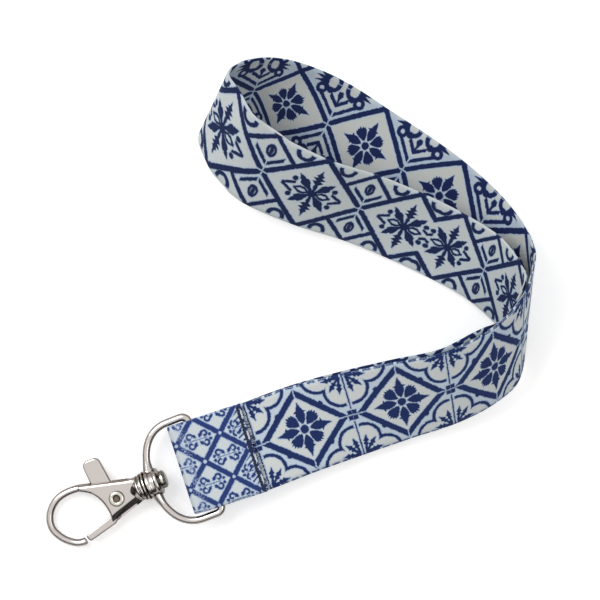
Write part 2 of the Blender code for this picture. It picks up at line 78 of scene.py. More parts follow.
# %% Hang the camera
CAMERA_PLACE = (0.0124, -0.0087, 0.480)
CAMERA_TURN = radians(-21.5)
bpy.ops.object.camera_add(location=CAMERA_PLACE, rotation=(0, 0, CAMERA_TURN))
camera = bpy.context.object
camera.name = "overhead_camera"
camera.data.sensor_width = 36
camera.data.lens = 101.4
camera.data.clip_start = 0.01
bpy.context.scene.camera = camera
print("camera above", [round(v, 4) for v in camera.location])

# %% [markdown]
# ## Table and light
# A white sheet fills the view.  The light is a studio tent: bright overhead and
# darker towards the horizon on the near side.  Cloth hardly notices that dark
# band, but polished nickel needs it, because a mirror with nothing dark to show
# looks like white plastic.


# %% A helper that makes a named material with its shader
def new_material(name):
    material = bpy.data.materials.new(name)
    material.use_nodes = True
    return material, material.node_tree, material.node_tree.nodes["Principled BSDF"]


def dial(node, **settings):
    """Set a node's inputs; an underscore in a name stands for a space."""
    for name, value in settings.items():
        node.inputs[name.replace("_", " ")].default_value = value


# %% Lay the table
bpy.ops.mesh.primitive_plane_add(size=3, location=(0, 0, cad_box[0][2] - 0.0002))
table = bpy.context.object
table.name = "table"
paper, _, paper_shader = new_material("white_paper")
dial(paper_shader, Base_Color=(0.93, 0.93, 0.93, 1), Roughness=0.9, Specular_IOR_Level=0.1,
     Emission_Color=(1, 1, 1, 1), Emission_Strength=0.34)
table.data.materials.append(paper)
print("table at", round(table.location.z * 1000, 2), "mm")

# %% Light the tent
world = bpy.data.worlds.new("studio_tent")
bpy.context.scene.world = world
world.use_nodes = True
sky = world.node_tree
sky_nodes, sky_links = sky.nodes, sky.links
direction = sky_nodes.new("ShaderNodeTexCoord")
tilt = sky_nodes.new("ShaderNodeVectorRotate")
tilt.rotation_type = "AXIS_ANGLE"
dial(tilt, Axis=(cos(CAMERA_TURN), sin(CAMERA_TURN), 0), Angle=radians(22))
height = sky_nodes.new("ShaderNodeSeparateXYZ")
bands = sky_nodes.new("ShaderNodeValToRGB")
for spot, grey in ((0.02, 0.03), (0.24, 0.07), (0.42, 0.45), (0.56, 1.0)):
    stop = bands.color_ramp.elements.new(spot)
    stop.color = (grey, grey * 0.985, grey * 0.96, 1)
bands.color_ramp.elements.remove(bands.color_ramp.elements[0])
bands.color_ramp.elements[-1].color = (1.0, 0.995, 0.98, 1)
sky_links.new(direction.outputs["Generated"], tilt.inputs["Vector"])
sky_links.new(tilt.outputs["Vector"], height.inputs["Vector"])
sky_links.new(height.outputs["Z"], bands.inputs["Fac"])
sky_links.new(bands.outputs["Color"], sky_nodes["Background"].inputs["Color"])
sky_nodes["Background"].inputs["Strength"].default_value = 0.82
bpy.context.scene.view_settings.view_transform = "Standard"

for name, place, power, size in (("window", (-0.35, 0.45, 0.7), 3.4, 0.5),
                                 ("fill", (0.45, -0.35, 0.8), 1.2, 0.6)):
    bpy.ops.object.light_add(type="AREA", location=place)
    lamp = bpy.context.object
    lamp.name = name
    lamp.data.energy = power
    lamp.data.size = size
    lamp.rotation_euler = (-Vector(place)).to_track_quat("-Z", "Y").to_euler()

# %% [markdown]
# ## Drawing with numbers
# The print is dye on woven polyester.  It could be a picture laid on the strap,
# but a picture blurs when it is enlarged, and a pattern made of formulas stays
# sharp.  `Field` wraps one number that changes over the cloth, so a shape can be
# written as ordinary arithmetic.  Each shape is a height in millimetres that is
# positive inside the shape, and shapes are joined with `most`.


# %% Numbers that change over a surface
class Field:
    tree = None

    def __init__(self, socket):
        self.socket = socket

    def math(self, operation, *others):
        node = Field.tree.nodes.new("ShaderNodeMath")
        node.operation = operation
        for slot, value in zip(node.inputs, (self, *others)):
            if isinstance(value, Field):
                Field.tree.links.new(value.socket, slot)
            else:
                slot.default_value = value
        return Field(node.outputs[0])

    def __add__(self, other): return self.math("ADD", other)
    def __sub__(self, other): return self.math("SUBTRACT", other)
    def __rsub__(self, other): return self.math("MULTIPLY_ADD", -1.0, other)
    def __mul__(self, other): return self.math("MULTIPLY", other)
    __rmul__ = __mul__
    __radd__ = __add__
    def size(self): return self.math("ABSOLUTE")


def most(first, *others):
    for other in others:
        first = first.math("MAXIMUM", other)
    return first


def least(first, *others):
    for other in others:
        first = first.math("MINIMUM", other)
    return first


# %% Outlines, discs and bands
def outline(along, points):
    """Piecewise outline: the half width at each distance along a leaf."""
    reach = points[-1][0]
    node = Field.tree.nodes.new("ShaderNodeValToRGB")
    Field.tree.links.new((along * (1 / reach)).socket, node.inputs["Fac"])
    tallest = max(width for _, width in points)
    stops = node.color_ramp.elements
    for k, (distance, width) in enumerate(points):
        stop = stops[k] if k < 2 else stops.new(1.0)
        stop.position = distance / reach
        stop.color = (width / tallest,) * 3 + (1,)
    return Field(node.outputs["Color"]) * tallest


def leaf(along, across, points):
    """A leaf that grows along one line and is closed at both ends."""
    inside = least(along - points[0][0], points[-1][0] - along)
    return least(outline(along, points) - across, inside)


def turned_leaf(x, y, angle, points):
    """The same leaf, growing from the corner at an angle in degrees."""
    c, s = cos(radians(angle)), sin(radians(angle))
    return leaf(x * c + y * s, (y * c - x * s).size(), points)


def away(x, y, centre=(0, 0)):
    """Distance from a point."""
    dx, dy = x - centre[0], y - centre[1]
    return (dx * dx + dy * dy).math("SQRT")


def disc(x, y, centre, radius):
    return radius - away(x, y, centre)


def band(distance, half):
    return half - distance.size()


def folded(value, pitch):
    """Distance from the nearest middle of a row of equal cells."""
    return ((value * (1 / pitch)).math("FRACT") - 0.5).size() * pitch


# %% [markdown]
# ## Weave
# Up close the webbing is a flat weave: warp threads run along it, and weft
# threads cross them about every third of a millimetre.  One node group makes
# that bump for both the strap and the tab.  It also gives a shade that darkens
# the little valleys, and a speckle where single threads took less dye.

# %% A helper that starts a node group
def new_group(name, inputs, outputs):
    """An empty group with its sockets; the Fields that follow are drawn in it."""
    group = bpy.data.node_groups.new(name, "ShaderNodeTree")
    for label, kind in inputs:
        group.interface.new_socket(label, in_out="INPUT", socket_type=kind)
    for label in outputs:
        group.interface.new_socket(label, in_out="OUTPUT", socket_type="NodeSocketFloat")
    Field.tree = group
    return group, group.nodes.new("NodeGroupInput"), group.nodes.new("NodeGroupOutput")


# %% Build the weave group
weave, entry, leave = new_group(
    "webbing_weave", (("Cloth Place", "NodeSocketVector"), ("Thread Pitch", "NodeSocketFloat")),
    ("Height", "Shade", "Speckle"))
place = weave.nodes.new("ShaderNodeSeparateXYZ")
weave.links.new(entry.outputs["Cloth Place"], place.inputs["Vector"])
pitch = Field(entry.outputs["Thread Pitch"])
weft = (Field(place.outputs["X"]) * pi).math("DIVIDE", pitch)
warp = (Field(place.outputs["Y"]) * pi).math("DIVIDE", pitch * 1.25)
crossing = weft.math("SINE") * warp.math("SINE")
rib = weft.math("COSINE").size()
tangle = weave.nodes.new("ShaderNodeTexNoise")
dial(tangle, Scale=2.4, Detail=2.0, Roughness=0.7)
weave.links.new(entry.outputs["Cloth Place"], tangle.inputs["Vector"])
speck = Field(tangle.outputs["Fac"])
cloth_height = crossing * 0.55 + rib * 0.35 + speck * 0.5
weave.links.new(cloth_height.socket, leave.inputs["Height"])
weave.links.new((crossing.size() * 0.16 + 0.88).socket, leave.inputs["Shade"])
weave.links.new(speck.socket, leave.inputs["Speckle"])
print("weave group", len(weave.nodes), "nodes")

# %% [markdown]
# ## The print's motifs
# The print repeats every 28.5 mm: a large cream diamond holds a flower, and the
# corners between two diamonds hold an ornament.  Folding the coordinates with
# an absolute value draws a quarter of the motif and gets the other three free.

# %% Sizes of the print
REPEAT = 28.5
HALF_REPEAT = REPEAT / 2
HALF_WIDTH = 12.5
DIAGONAL = 0.7071              # turns x + y into a distance along the slant
BAR_SCALE = 9.4                # mm from a flower's middle to a bar that joins two edges
print("repeat", REPEAT, "mm, half width", HALF_WIDTH, "mm")


# %% Fold the cloth's coordinates about the middle of each diamond
def fold_print(u, v):
    """Distances from the nearest flower, and from the corner beside it."""
    along = ((u * (1 / REPEAT) + 0.5).math("FRACT") - 0.5).size() * REPEAT
    from_edge = (v.size() - HALF_WIDTH).size()
    return along, HALF_WIDTH - from_edge, HALF_REPEAT - along, from_edge


# %% The blossom: four spiked and four tulip petals round a dot
SPIKED = ((1.7, .1), (2.1, .5), (3.0, .98), (4.0, 1.28), (4.8, 1.1), (5.1, 1.75), (5.5, .85),
          (6.2, .62), (7.8, 0))
TULIP = ((1.7, .1), (2.1, .5), (3.0, 1.08), (4.2, 1.55), (5.0, 1.65), (6.3, 1.5))
TULIP_TIPS = ((0, 6.1), (.42, 5.3), (.85, 5.75), (1.15, 5.0), (1.45, 5.35), (1.7, 4.4))


def blossom(along, across):
    longer, shorter = most(along, across), least(along, across)
    slant, skew = (along + across) * DIAGONAL, (along - across).size() * DIAGONAL
    spiked = leaf(longer, shorter, SPIKED)
    tulip = least(leaf(slant, skew, TULIP), outline(skew, TULIP_TIPS) - slant)
    return most(spiked, tulip, 1.12 - away(along, across))


# %% The first print: bracket corners round a framed diamond
ACANTHUS = ((0, .3), (1.0, .3), (1.9, .22), (2.4, .7), (3.0, .3), (3.4, .75), (4.0, .35),
            (5.0, 0))


def framed_print(u, v):
    along, across, x, y = fold_print(u, v)
    edge = (along * (1 / 12.9) + across * (1 / 11.6) - 1.0) * 8.63
    bar = least(band(edge + 0.72, 0.74), least(along, across) - 0.28)
    nub = disc(along, across, (6.2, 5.7), 0.8)
    lobes = least(away(x, y, (6.9, -0.9)) - 4.6, away(x, y, (1.5, 4.5)) - 4.55)
    bracket = least(band(lobes, 0.36), x - 0.9)
    palmette = most(*[turned_leaf(x - 1.0, y - 0.6, angle, ACANTHUS) for angle in (4, 46, 80)])
    seam = least(0.1 - x, across - 2.0)
    square = 0.56 - most((x - 0.66).size(), (across - 0.82).size())
    dash = least(band(y - 0.2, 0.06), folded(u, 3.1) - 0.6)
    ink = most(blossom(along, across), bar, nub, bracket, palmette, seam, square, dash)
    cream = most(-1.2 - edge, least(-0.3 - lobes, x - 0.25))
    return ink, cream


# %% The second print: crossing bars, corner angles and scrolls
def lattice_print(u, v):
    along, across, x, y = fold_print(u, v)
    edge = (along * (1 / HALF_REPEAT) + across * (1 / HALF_WIDTH) - 1.0) * BAR_SCALE
    to_cross = away(x, across)
    bar = least(band(edge, 0.7), least(x, across) - 0.3)
    angle = least(band(edge - 2.25, 0.45), 6.2 - x, x - 0.35)
    arrow = least(band(edge - 4.7, 0.45), 3.0 - x)
    stem = leaf(y - 2.0, x, ((0, .5), (1.0, .9), (2.2, .3), (3.4, .25), (4.2, 0)))
    scroll = band(away(x, y, (6.3, 2.8)) - 1.25, 0.5)
    wing = most(least(band(away(x, y, (3.6, 0.4)) - 2.1, 0.6), y - 0.2),
                turned_leaf(x - 5.2, y - 0.3, 8, ((0, .3), (1.2, .7), (2.6, .35), (4.2, 0))))
    berry = disc(x, y, (3.7, 2.6), 0.95)
    ink = most(blossom(along, across), bar, angle, arrow, stem, scroll, wing, berry)
    return ink, most(-1.0 - edge, least(edge - 2.6, to_cross - 5.0))


# %% The third print: a snowflake, with quartered corners
LANCE = ((1.0, .3), (2.2, .55), (3.6, 1.1), (4.6, 1.15), (5.2, .6), (5.6, .7), (7.0, 0))
HOLLOW = ((1.2, 0), (2.4, .85), (3.6, .9), (5.0, 0))
SPRAY = ((1.0, .25), (2.6, .5), (3.4, .35), (4.3, 1.5), (4.8, .5), (5.6, 1.7), (6.0, .45),
         (6.6, 1.0), (7.1, .4), (8.4, 0))


def snowflake_print(u, v):
    along, across, x, y = fold_print(u, v)
    slant, skew = (along + across) * DIAGONAL, (along - across).size() * DIAGONAL
    edge = (along * (1 / HALF_REPEAT) + across * (1 / HALF_WIDTH) - 1.0) * BAR_SCALE
    bar = least(band(edge, 0.68), least(x, across) - 0.3)
    lance = leaf(slant, skew, LANCE)
    hollow = least(band(outline(along, HOLLOW) - across, 0.3), 5.2 - along, along - 1.0)
    arrow = least(band(across + along * 0.5 - 4.3, 0.42), along - 5.3, 8.5 - along)
    berry = disc(along, across, (5.7, 2.9), 0.7)
    spray = leaf(across, along, SPRAY)
    heart = 1.25 - away(along, across)
    quarter = least(band((x * (1 / HALF_REPEAT) - y * (1 / HALF_WIDTH)) * BAR_SCALE, 0.55), edge)
    angle = least(band(edge - 2.1, 0.42), 4.0 - x, x - 0.3)
    bud = most(band(away(x * 1.3, y * 0.85, (0, 4.4)) - 1.35, 0.36),
               leaf(y - 3.6, x, ((0, 0), (1.0, .45), (2.0, .45), (3.4, 0))))
    curl = least(band(away(x, y, (8.2, 0.9)) - 2.0, 0.5), y - 0.7)
    ink = most(heart, bar, lance, hollow, arrow, berry, spray, quarter, angle, bud, curl)
    return ink, most(-1.0 - edge, edge - 1.2)


# %% The tab's print: a closer lattice with curls
SMALL_REPEAT = 12.8
SMALL_HALF = SMALL_REPEAT / 2


def small_print(u, v):
    a = folded(u + 5.2, SMALL_REPEAT)
    b = folded(v - 0.5, SMALL_REPEAT)
    edge = (a + b - SMALL_HALF) * DIAGONAL
    gap = least(away(a - SMALL_HALF, b), away(a, b - SMALL_HALF)) - 0.6
    bar = least(band(edge, 0.6), gap)
    # fold once more, so both kinds of cell carry the motif about their own middle
    far = edge.math("GREATER_THAN", 0.0)
    a2 = (a - far * SMALL_HALF).size()
    b2 = (b - far * SMALL_HALF).size()
    curl = least(band(away(a2, b2, (2.1, 1.35)) - 0.75, 0.2), a2 + b2 * 0.6 - 2.35)
    sprig = turned_leaf(a2, b2, 52, ((.9, .1), (1.4, .42), (2.0, .2), (2.4, 0)))
    spot = disc(a2, b2, (3.5, 0.6), 0.34)
    thread = least(-0.02 - b2, 2.6 - a2)
    comb = least(band((((v + u * 0.6) * (1 / 1.6)).math("FRACT") - 0.5) * 1.6, 0.14),
                 3.0 - u, u - 1.2, edge.size() - 1.2)
    curl = least(curl, u - 3.4)
    ink = most(bar, curl, sprig, spot, thread, comb)
    return ink, edge.size() - 0.9


# %% [markdown]
# ## Dyed webbing
# Each print becomes a cloth material.  Ink bleeds a little into the weave, so
# its edge is a narrow ramp, with a pale blue halo round it.  The coordinates
# are nudged by noise first, which gives the hand-painted wobble.

# %% Dye colours
# a Mix node's colour sockets share names with its other kinds, so they go by number
MIX_UNDER, MIX_OVER, MIX_RESULT = 6, 7, 2
NAVY = (0.014, 0.030, 0.125, 1)
HALO = (0.44, 0.56, 0.74, 1)
PALE = (0.56, 0.65, 0.75, 1)
CREAM = (0.66, 0.69, 0.69, 1)


# %% A helper that makes one dyed cloth
def dyed_cloth(name, draw, navy=NAVY, cream=CREAM, pale=PALE, worn=None):
    material, tree, shader = new_material(name)
    Field.tree = tree
    new, link = tree.nodes.new, tree.links.new
    uv = new("ShaderNodeUVMap")
    uv.uv_map = "cloth"
    split = new("ShaderNodeSeparateXYZ")
    link(uv.outputs["UV"], split.inputs["Vector"])
    wobble = new("ShaderNodeTexNoise")
    dial(wobble, Scale=0.9, Detail=3.0, Roughness=0.75)
    link(uv.outputs["UV"], wobble.inputs["Vector"])
    drift = new("ShaderNodeSeparateColor")
    link(wobble.outputs["Color"], drift.inputs["Color"])
    u = Field(split.outputs["X"]) + (Field(drift.outputs["Red"]) - 0.5) * 0.7
    v = Field(split.outputs["Y"]) + (Field(drift.outputs["Green"]) - 0.5) * 0.7
    ink, light = draw(u, v)
    weaving = new("ShaderNodeGroup")
    weaving.node_tree = weave
    weaving.inputs["Thread Pitch"].default_value = 0.34
    link(uv.outputs["UV"], weaving.inputs["Cloth Place"])
    speck = Field(weaving.outputs["Speckle"])
    ink = ink + (speck - 0.5) * 0.5 + 0.12

    def blend(amount, low, high, under, over):
        ramp = new("ShaderNodeMapRange")
        dial(ramp, From_Min=low, From_Max=high)
        link(amount.socket, ramp.inputs["Value"])
        mix = new("ShaderNodeMix")
        mix.data_type = "RGBA"
        link(ramp.outputs["Result"], mix.inputs["Factor"])
        for slot, colour in ((MIX_UNDER, under), (MIX_OVER, over)):
            if isinstance(colour, tuple):
                mix.inputs[slot].default_value = colour
            else:
                link(colour, mix.inputs[slot])
        return mix.outputs[MIX_RESULT]

    ground = blend(light, -0.2, 0.3, pale, cream)
    ground = blend(ink, -0.36, -0.1, ground, HALO)
    dye = blend(ink, -0.1, 0.12, ground, navy)
    if worn is not None:
        rubbed = worn(Field(split.outputs["X"])) + (speck - 0.5) * 2.6
        dye = blend(rubbed, 0.45, 1.0, dye, (0.42, 0.52, 0.74, 1))
    shade = new("ShaderNodeMix")
    shade.data_type = "RGBA"
    shade.blend_type = "MULTIPLY"
    shade.inputs["Factor"].default_value = 1.0
    link(dye, shade.inputs[MIX_UNDER])
    link(weaving.outputs["Shade"], shade.inputs[MIX_OVER])
    link(shade.outputs[MIX_RESULT], shader.inputs["Base Color"])
    bump = new("ShaderNodeBump")
    dial(bump, Strength=0.45, Distance=0.12 * MM)
    link(weaving.outputs["Height"], bump.inputs["Height"])
    link(bump.outputs["Normal"], shader.inputs["Normal"])
    link((speck * 0.2 + 0.72).socket, shader.inputs["Roughness"])
    dial(shader, Specular_IOR_Level=0.15, Sheen_Weight=0.04, Sheen_Roughness=0.5)
    print(name, len(tree.nodes), "nodes")
    return material


# %% Dye the four cloths
WORN_LINE, WORN_MOST, WORN_FALL = 18.3, 0.62, 0.2    # mm from the hem, amount, amount per mm
framed_cloth = dyed_cloth("framed_diamond_cloth", framed_print)
# the inner face's navy, cream and pale are darker than the outer print's: painted shade for the
# inside of the loop
lattice_cloth = dyed_cloth("lattice_cloth", lattice_print, navy=(0.009, 0.018, 0.085, 1),
                           cream=(0.56, 0.58, 0.56, 1), pale=(0.46, 0.54, 0.62, 1))
# the snowflake cloth's colours are darker than the framed print's: partly the print's own tone,
# partly painted shade on this length of the loop
snowflake_cloth = dyed_cloth("snowflake_cloth", snowflake_print, navy=(0.010, 0.020, 0.080, 1),
                             cream=(0.60, 0.64, 0.65, 1), pale=(0.54, 0.62, 0.70, 1))
small_cloth = dyed_cloth("small_lattice_cloth", small_print, navy=(0.024, 0.048, 0.19, 1),
                         cream=(0.64, 0.70, 0.74, 1),
                         worn=lambda u: WORN_MOST - (u - WORN_LINE).size() * WORN_FALL)

# %% [markdown]
# ## The strap's route
# Webbing bends and twists but doesn't stretch, so it is drawn as a row of
# straight lines across the strap, each with a middle, a heading and a slope.
# The stations are the ones that the engineering model uses.  The strap leaves
# the ring, folds back underneath itself, turns over at the far corner, and
# comes back inside its own bend to the ring.

# %% Sizes and stations
STRAP_WIDTH = 25.0 * MM
STRAP_THICK = 1.0 * MM
CLOTH_THICK = 0.66 * MM        # as it looks, a little under the solid's thickness
TAB_REACH = 14.4 * MM
TAB_FOLD = 7.3 * MM
TAB_TURN = radians(-3.5)
STRAP_END = 3.6 * MM
SEAT_GAP = 0.3 * MM
# mm: x and y from the ring's bar, lower edge above the table; degrees: heading, slope
OUTGOING = (
    (29.6, -1.3, 5.2, 86, 8), (43.6, -2.4, 3.8, 85, 18), (57.7, -3.8, 3.9, 82, 28),
    (71.3, -5.1, 6.3, 80, 38), (84.6, -3.4, 9.6, 78, 42),
)
LOOP = (
    (94.2, 1.2, 10.4, 72, 40), (100.8, 10.6, 6.4, 67, 40), (100.9, 16.6, 2.9, 57, 39),
    (98.9, 22.2, 1.5, 47, 36), (94.8, 32.9, 1.2, 37, 31), (88.6, 45.7, 0.9, 33, 31),
    (81.7, 56.2, 1.0, 36, 28), (74.5, 66.3, 0.9, 39, 27), (67.5, 76.5, 0.8, 42, 32),
    (59.4, 86.4, 0.8, 41, 45), (52.0, 92.5, 1.4, 38, 55), (42.9, 93.3, 4.8, 35, 50),
    (39.0, 90.6, 8.1, 39, 45), (39.3, 84.3, 10.7, 42, 39), (40.8, 77.0, 10.8, 40, 42),
    (45.0, 69.5, 10.3, 41, 38), (55.4, 58.9, 7.5, 38, 40), (66.2, 50.4, 4.6, 39, 40),
    (76.0, 41.3, 2.6, 40, 40), (85.2, 31.4, 1.9, 43, 41), (92.4, 21.9, 2.3, 50, 43),
    (96.1, 12.5, 3.0, 60, 46), (96.5, 5.8, 5.1, 68, 43), (91.3, -0.1, 7.2, 75, 42),
)


# %% Lines across the strap
def width_direction(heading, slope):
    return Vector((cos(slope) * cos(heading), cos(slope) * sin(heading), sin(slope)))


def strap_stations():
    ply = (STRAP_THICK + SEAT_GAP) / 2
    heading = pi / 2 + TAB_TURN

    def near_ring(distance, side):
        return (distance * cos(TAB_TURN), distance * sin(TAB_TURN),
                RING_BAR.z + side * ply, heading, 0.0)

    def placed(row):
        x, y, lift, turn, slope = row
        rise = STRAP_WIDTH / 2 * sin(radians(slope))
        return (x * MM, y * MM, lift * MM + rise, radians(turn), radians(slope))

    near = (STRAP_END, (STRAP_END + TAB_REACH) / 2, TAB_REACH)
    out = [near_ring(distance, 1) for distance in near] + [placed(row) for row in OUTGOING]
    back = []
    for here, ahead in zip(out[3:], out[4:] + [placed(LOOP[0])]):
        run = Vector(ahead[:3]) - Vector(here[:3])
        normal = run.cross(width_direction(here[3], here[4])).normalized()
        centre = Vector(here[:3]) - normal * (STRAP_THICK + 2 * SEAT_GAP)
        back.insert(0, tuple(centre) + here[3:])
    back += [near_ring(distance, -1) for distance in reversed(near)]
    return out + [placed(row) for row in LOOP] + back


# %% A smooth curve through the stations
SAMPLES = 40                   # points between two stations
SPARSE = 8                     # small shapes keep every eighth of them


def smooth_route(values):
    rows = [tuple(Vector(values[0][:3]) * 2 - Vector(values[1][:3])) + values[0][3:]]
    rows += values
    rows.append(tuple(Vector(values[-1][:3]) * 2 - Vector(values[-2][:3])) + values[-1][3:])
    result = []
    for i in range(1, len(rows) - 2):
        window = rows[i - 1:i + 3]
        for k in range(SAMPLES):
            t = k / SAMPLES
            weights = (-t + 2 * t ** 2 - t ** 3, 2 - 5 * t ** 2 + 3 * t ** 3,
                       t + 4 * t ** 2 - 3 * t ** 3, -t ** 2 + t ** 3)
            result.append(tuple(sum(w * row[j] for w, row in zip(weights, window)) / 2
                                for j in range(5)))
    result.append(rows[-2])
    return result


def lengths_along(route):
    marks = [0.0]
    for first, second in zip(route, route[1:]):
        marks.append(marks[-1] + (Vector(second[:3]) - Vector(first[:3])).length)
    return marks


stations = strap_stations()
route = smooth_route(stations)
marks = lengths_along(route)
station_at = [marks[min(i * SAMPLES, len(marks) - 1)] for i in range(len(stations))]
print("strap length", round(marks[-1] * 1000, 1), "mm,", len(stations), "stations")

# %% [markdown]
# ## Where the print falls
# The two faces of the webbing carry different prints, and the outer face
# changes print where two lengths were joined before sewing, which is hidden
# underneath.  Each list pairs a station with the repeat that falls on it: whole
# numbers are flowers and halves are crossings.

# %% Print marks
OUTER_NEAR = ((3, 1.0), (4, 1.5), (5, 2.0), (6, 2.5), (7, 3.0), (8, 3.5))
INNER = ((12, 0.5), (13, 1.0), (14, 1.5), (15, 2.0), (16, 2.5), (17, 3.0), (18, 3.5))
OUTER_FAR = ((21, 1.0), (23, 1.5), (24, 2.0), (25, 2.5), (26, 3.0))
OUTER_LAST = ((27, 4.0), (28, 4.5), (29, 5.0))
CHANGE_OF_PRINT = station_at[14]
PRINT_JOIN = (station_at[26] + station_at[27]) / 2
INNER_SLIP = 2.2               # mm that the inner print drifts sideways along the loop
print("outer print changes", round(CHANGE_OF_PRINT * 1000, 1), "mm along the strap")


def print_place(distance, printed):
    """Position in the print, in mm, at a distance along the strap."""
    known = [(station_at[i], repeat * REPEAT) for i, repeat in printed]
    if distance <= known[0][0]:
        return known[0][1] - (known[0][0] - distance) * 1000
    for (here, low), (there, high) in zip(known, known[1:]):
        if distance <= there:
            return low + (high - low) * (distance - here) / (there - here)
    return known[-1][1] + (distance - known[-1][0]) * 1000


# %% [markdown]
# ## The strap's mesh
# Two skins of small squares follow the lines across the strap, half a
# thickness to either side, and a rounded strip closes each woven edge.  The
# cloth's own coordinates go into a UV map: millimetres of print along the
# strap and millimetres from its middle line across.

# %% Rows of the strap
ROW_STEP = 0.8 * MM
COLUMNS = 18
EDGE_SHARE = 0.012             # how far the print runs out onto the woven edge
EDGE_BULGE = 0.32              # the edge's roundness, in cloth thicknesses


def even_rows():
    count = ceil(marks[-1] / ROW_STEP)
    rows, k = [], 0
    for i in range(count + 1):
        target = marks[-1] * i / count
        while k < len(marks) - 2 and marks[k + 1] < target:
            k += 1
        t = (target - marks[k]) / (marks[k + 1] - marks[k])
        rows.append((target, [a + (b - a) * t for a, b in zip(route[k], route[k + 1])]))
    return rows


rows = even_rows()
corner = Vector((RING_BAR.x, RING_BAR.y, 0))
middle = []
for i, (distance, row) in enumerate(rows):
    ahead = Vector(rows[min(i + 1, len(rows) - 1)][1][:3])
    behind = Vector(rows[max(i - 1, 0)][1][:3])
    ruling = width_direction(row[3], row[4])
    shear = ruling.cross((ahead - behind).normalized()).length
    half = ruling * (STRAP_WIDTH / 2 / shear)
    middle.append([corner + Vector(row[:3]) + half * (2 * c / COLUMNS - 1)
                   for c in range(COLUMNS + 1)])
print("rows", len(rows))


# %% Build the two skins and the edges
def cloth_shell(name, grid, thickness, place_of, material_of, materials):
    """A closed sheet from a grid of points; place_of gives a corner's UV."""
    last_row, last_column = len(grid) - 1, len(grid[0]) - 1

    def normal_at(i, c):
        along = grid[min(i + 1, last_row)][c] - grid[max(i - 1, 0)][c]
        over = grid[i][min(c + 1, last_column)] - grid[i][max(c - 1, 0)]
        return along.cross(over).normalized()

    bm = bmesh.new()
    loops = []
    for i, line in enumerate(grid):
        offsets = [normal_at(i, c) * (thickness / 2) for c in range(len(line))]
        outer = [bm.verts.new(p + n) for p, n in zip(line, offsets)]
        inner = [bm.verts.new(p - n) for p, n in zip(line, offsets)]
        span = (line[-1] - line[0]).normalized() * (EDGE_BULGE * thickness)
        left, right = bm.verts.new(line[0] - span), bm.verts.new(line[-1] + span)
        loops.append(outer + [right] + inner[::-1] + [left])
    uv = bm.loops.layers.uv.new("cloth")
    around = len(loops[0])
    shares = [c / last_column for c in range(last_column + 1)]
    shares = shares + [1 + EDGE_SHARE] + shares[::-1] + [-EDGE_SHARE]
    for i in range(last_row):
        for k in range(around):
            k2 = (k + 1) % around
            face = bm.faces.new((loops[i][k], loops[i + 1][k], loops[i + 1][k2], loops[i][k2]))
            outside = k <= last_column or k == around - 1
            face.material_index = material_of(i, outside)
            for loop, (row, column) in zip(face.loops, ((i, k), (i + 1, k), (i + 1, k2), (i, k2))):
                loop[uv].uv = place_of(i, row, shares[column], outside)
            face.smooth = True
    for end in (0, last_row):
        for k in range(last_column):
            ring = loops[end]
            quad = (ring[k], ring[k + 1], ring[around - 3 - k], ring[around - 2 - k])
            face = bm.faces.new(quad)
            face.material_index = material_of(min(end, last_row - 1), True)
            for loop in face.loops:
                loop[uv].uv = place_of(min(end, last_row - 1), end, 0.5, True)
        for a, b, c in ((last_column, last_column + 1, last_column + 2),
                        (around - 2, around - 1, 0)):
            face = bm.faces.new((loops[end][a], loops[end][b], loops[end][c]))
            for loop in face.loops:
                loop[uv].uv = place_of(min(end, last_row - 1), end, 0.5, True)
    bmesh.ops.recalc_face_normals(bm, faces=bm.faces)
    mesh = bpy.data.meshes.new(name)
    bm.to_mesh(mesh)
    bm.free()
    for material in materials:
        mesh.materials.append(material)
    piece = bpy.data.objects.new(name, mesh)
    bpy.context.collection.objects.link(piece)
    return piece


def strap_place(face_row, row, share, outside):
    distance, at_face = rows[row][0], (rows[face_row][0] + rows[face_row + 1][0]) / 2
    printed, slip = INNER, 0.0
    if outside:
        printed = OUTER_NEAR
        if at_face > CHANGE_OF_PRINT:
            printed = OUTER_FAR if at_face < PRINT_JOIN else OUTER_LAST
    else:
        slip = min(max((distance - station_at[15]) / (station_at[17] - station_at[15]), 0), 1)
    return (print_place(distance, printed), (share - 0.5) * 2 * HALF_WIDTH + INNER_SLIP * slip)


def strap_material(row, outside):
    if not outside:
        return 1
    return 0 if rows[row][0] < CHANGE_OF_PRINT else 2


strap = cloth_shell("printed_strap", middle, CLOTH_THICK, strap_place, strap_material,
                    [framed_cloth, lattice_cloth, snowflake_cloth])
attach(strap, "strap")
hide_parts("strap_webbing")
print("strap", len(strap.data.polygons), "faces")

# %% [markdown]
# ## The folded tab
# A shorter strip wraps the ring's bar, and both its ends cover the strap's cut
# ends.  Its side view is one line: flat on top, round the nose, flat below.
# The hem is pulled in where the stitches hold it.

# %% Side view of the tab
TAB_STACK = STRAP_THICK + SEAT_GAP * 1.5 + 0.5 * MM
TAB_NOSE = TAB_STACK - 0.7 * MM
NOSE_X = -(TAB_FOLD - 0.5 * MM - TAB_NOSE)
upper = [(TAB_REACH, TAB_STACK - 0.1 * MM), (TAB_REACH - 1.8 * MM, TAB_STACK - 0.1 * MM),
         (TAB_REACH - 3.0 * MM, TAB_STACK), (6 * MM, TAB_STACK), (0, TAB_STACK),
         (-2.2 * MM, TAB_STACK - 0.02 * MM)]
nose = [(NOSE_X + TAB_NOSE * cos(radians(a)), TAB_NOSE * sin(radians(a)))
        for a in range(100, 261, 20)]
side_view = upper + nose + [(x, -z) for x, z in reversed(upper)]
flat_line = [(x, 0.0, z, 0.0, 0.0) for x, z in side_view]
side_line = smooth_route(flat_line)[::SPARSE]
tab_marks = lengths_along(side_line)
print("tab strip", round(tab_marks[-1] * 1000, 1), "mm long")

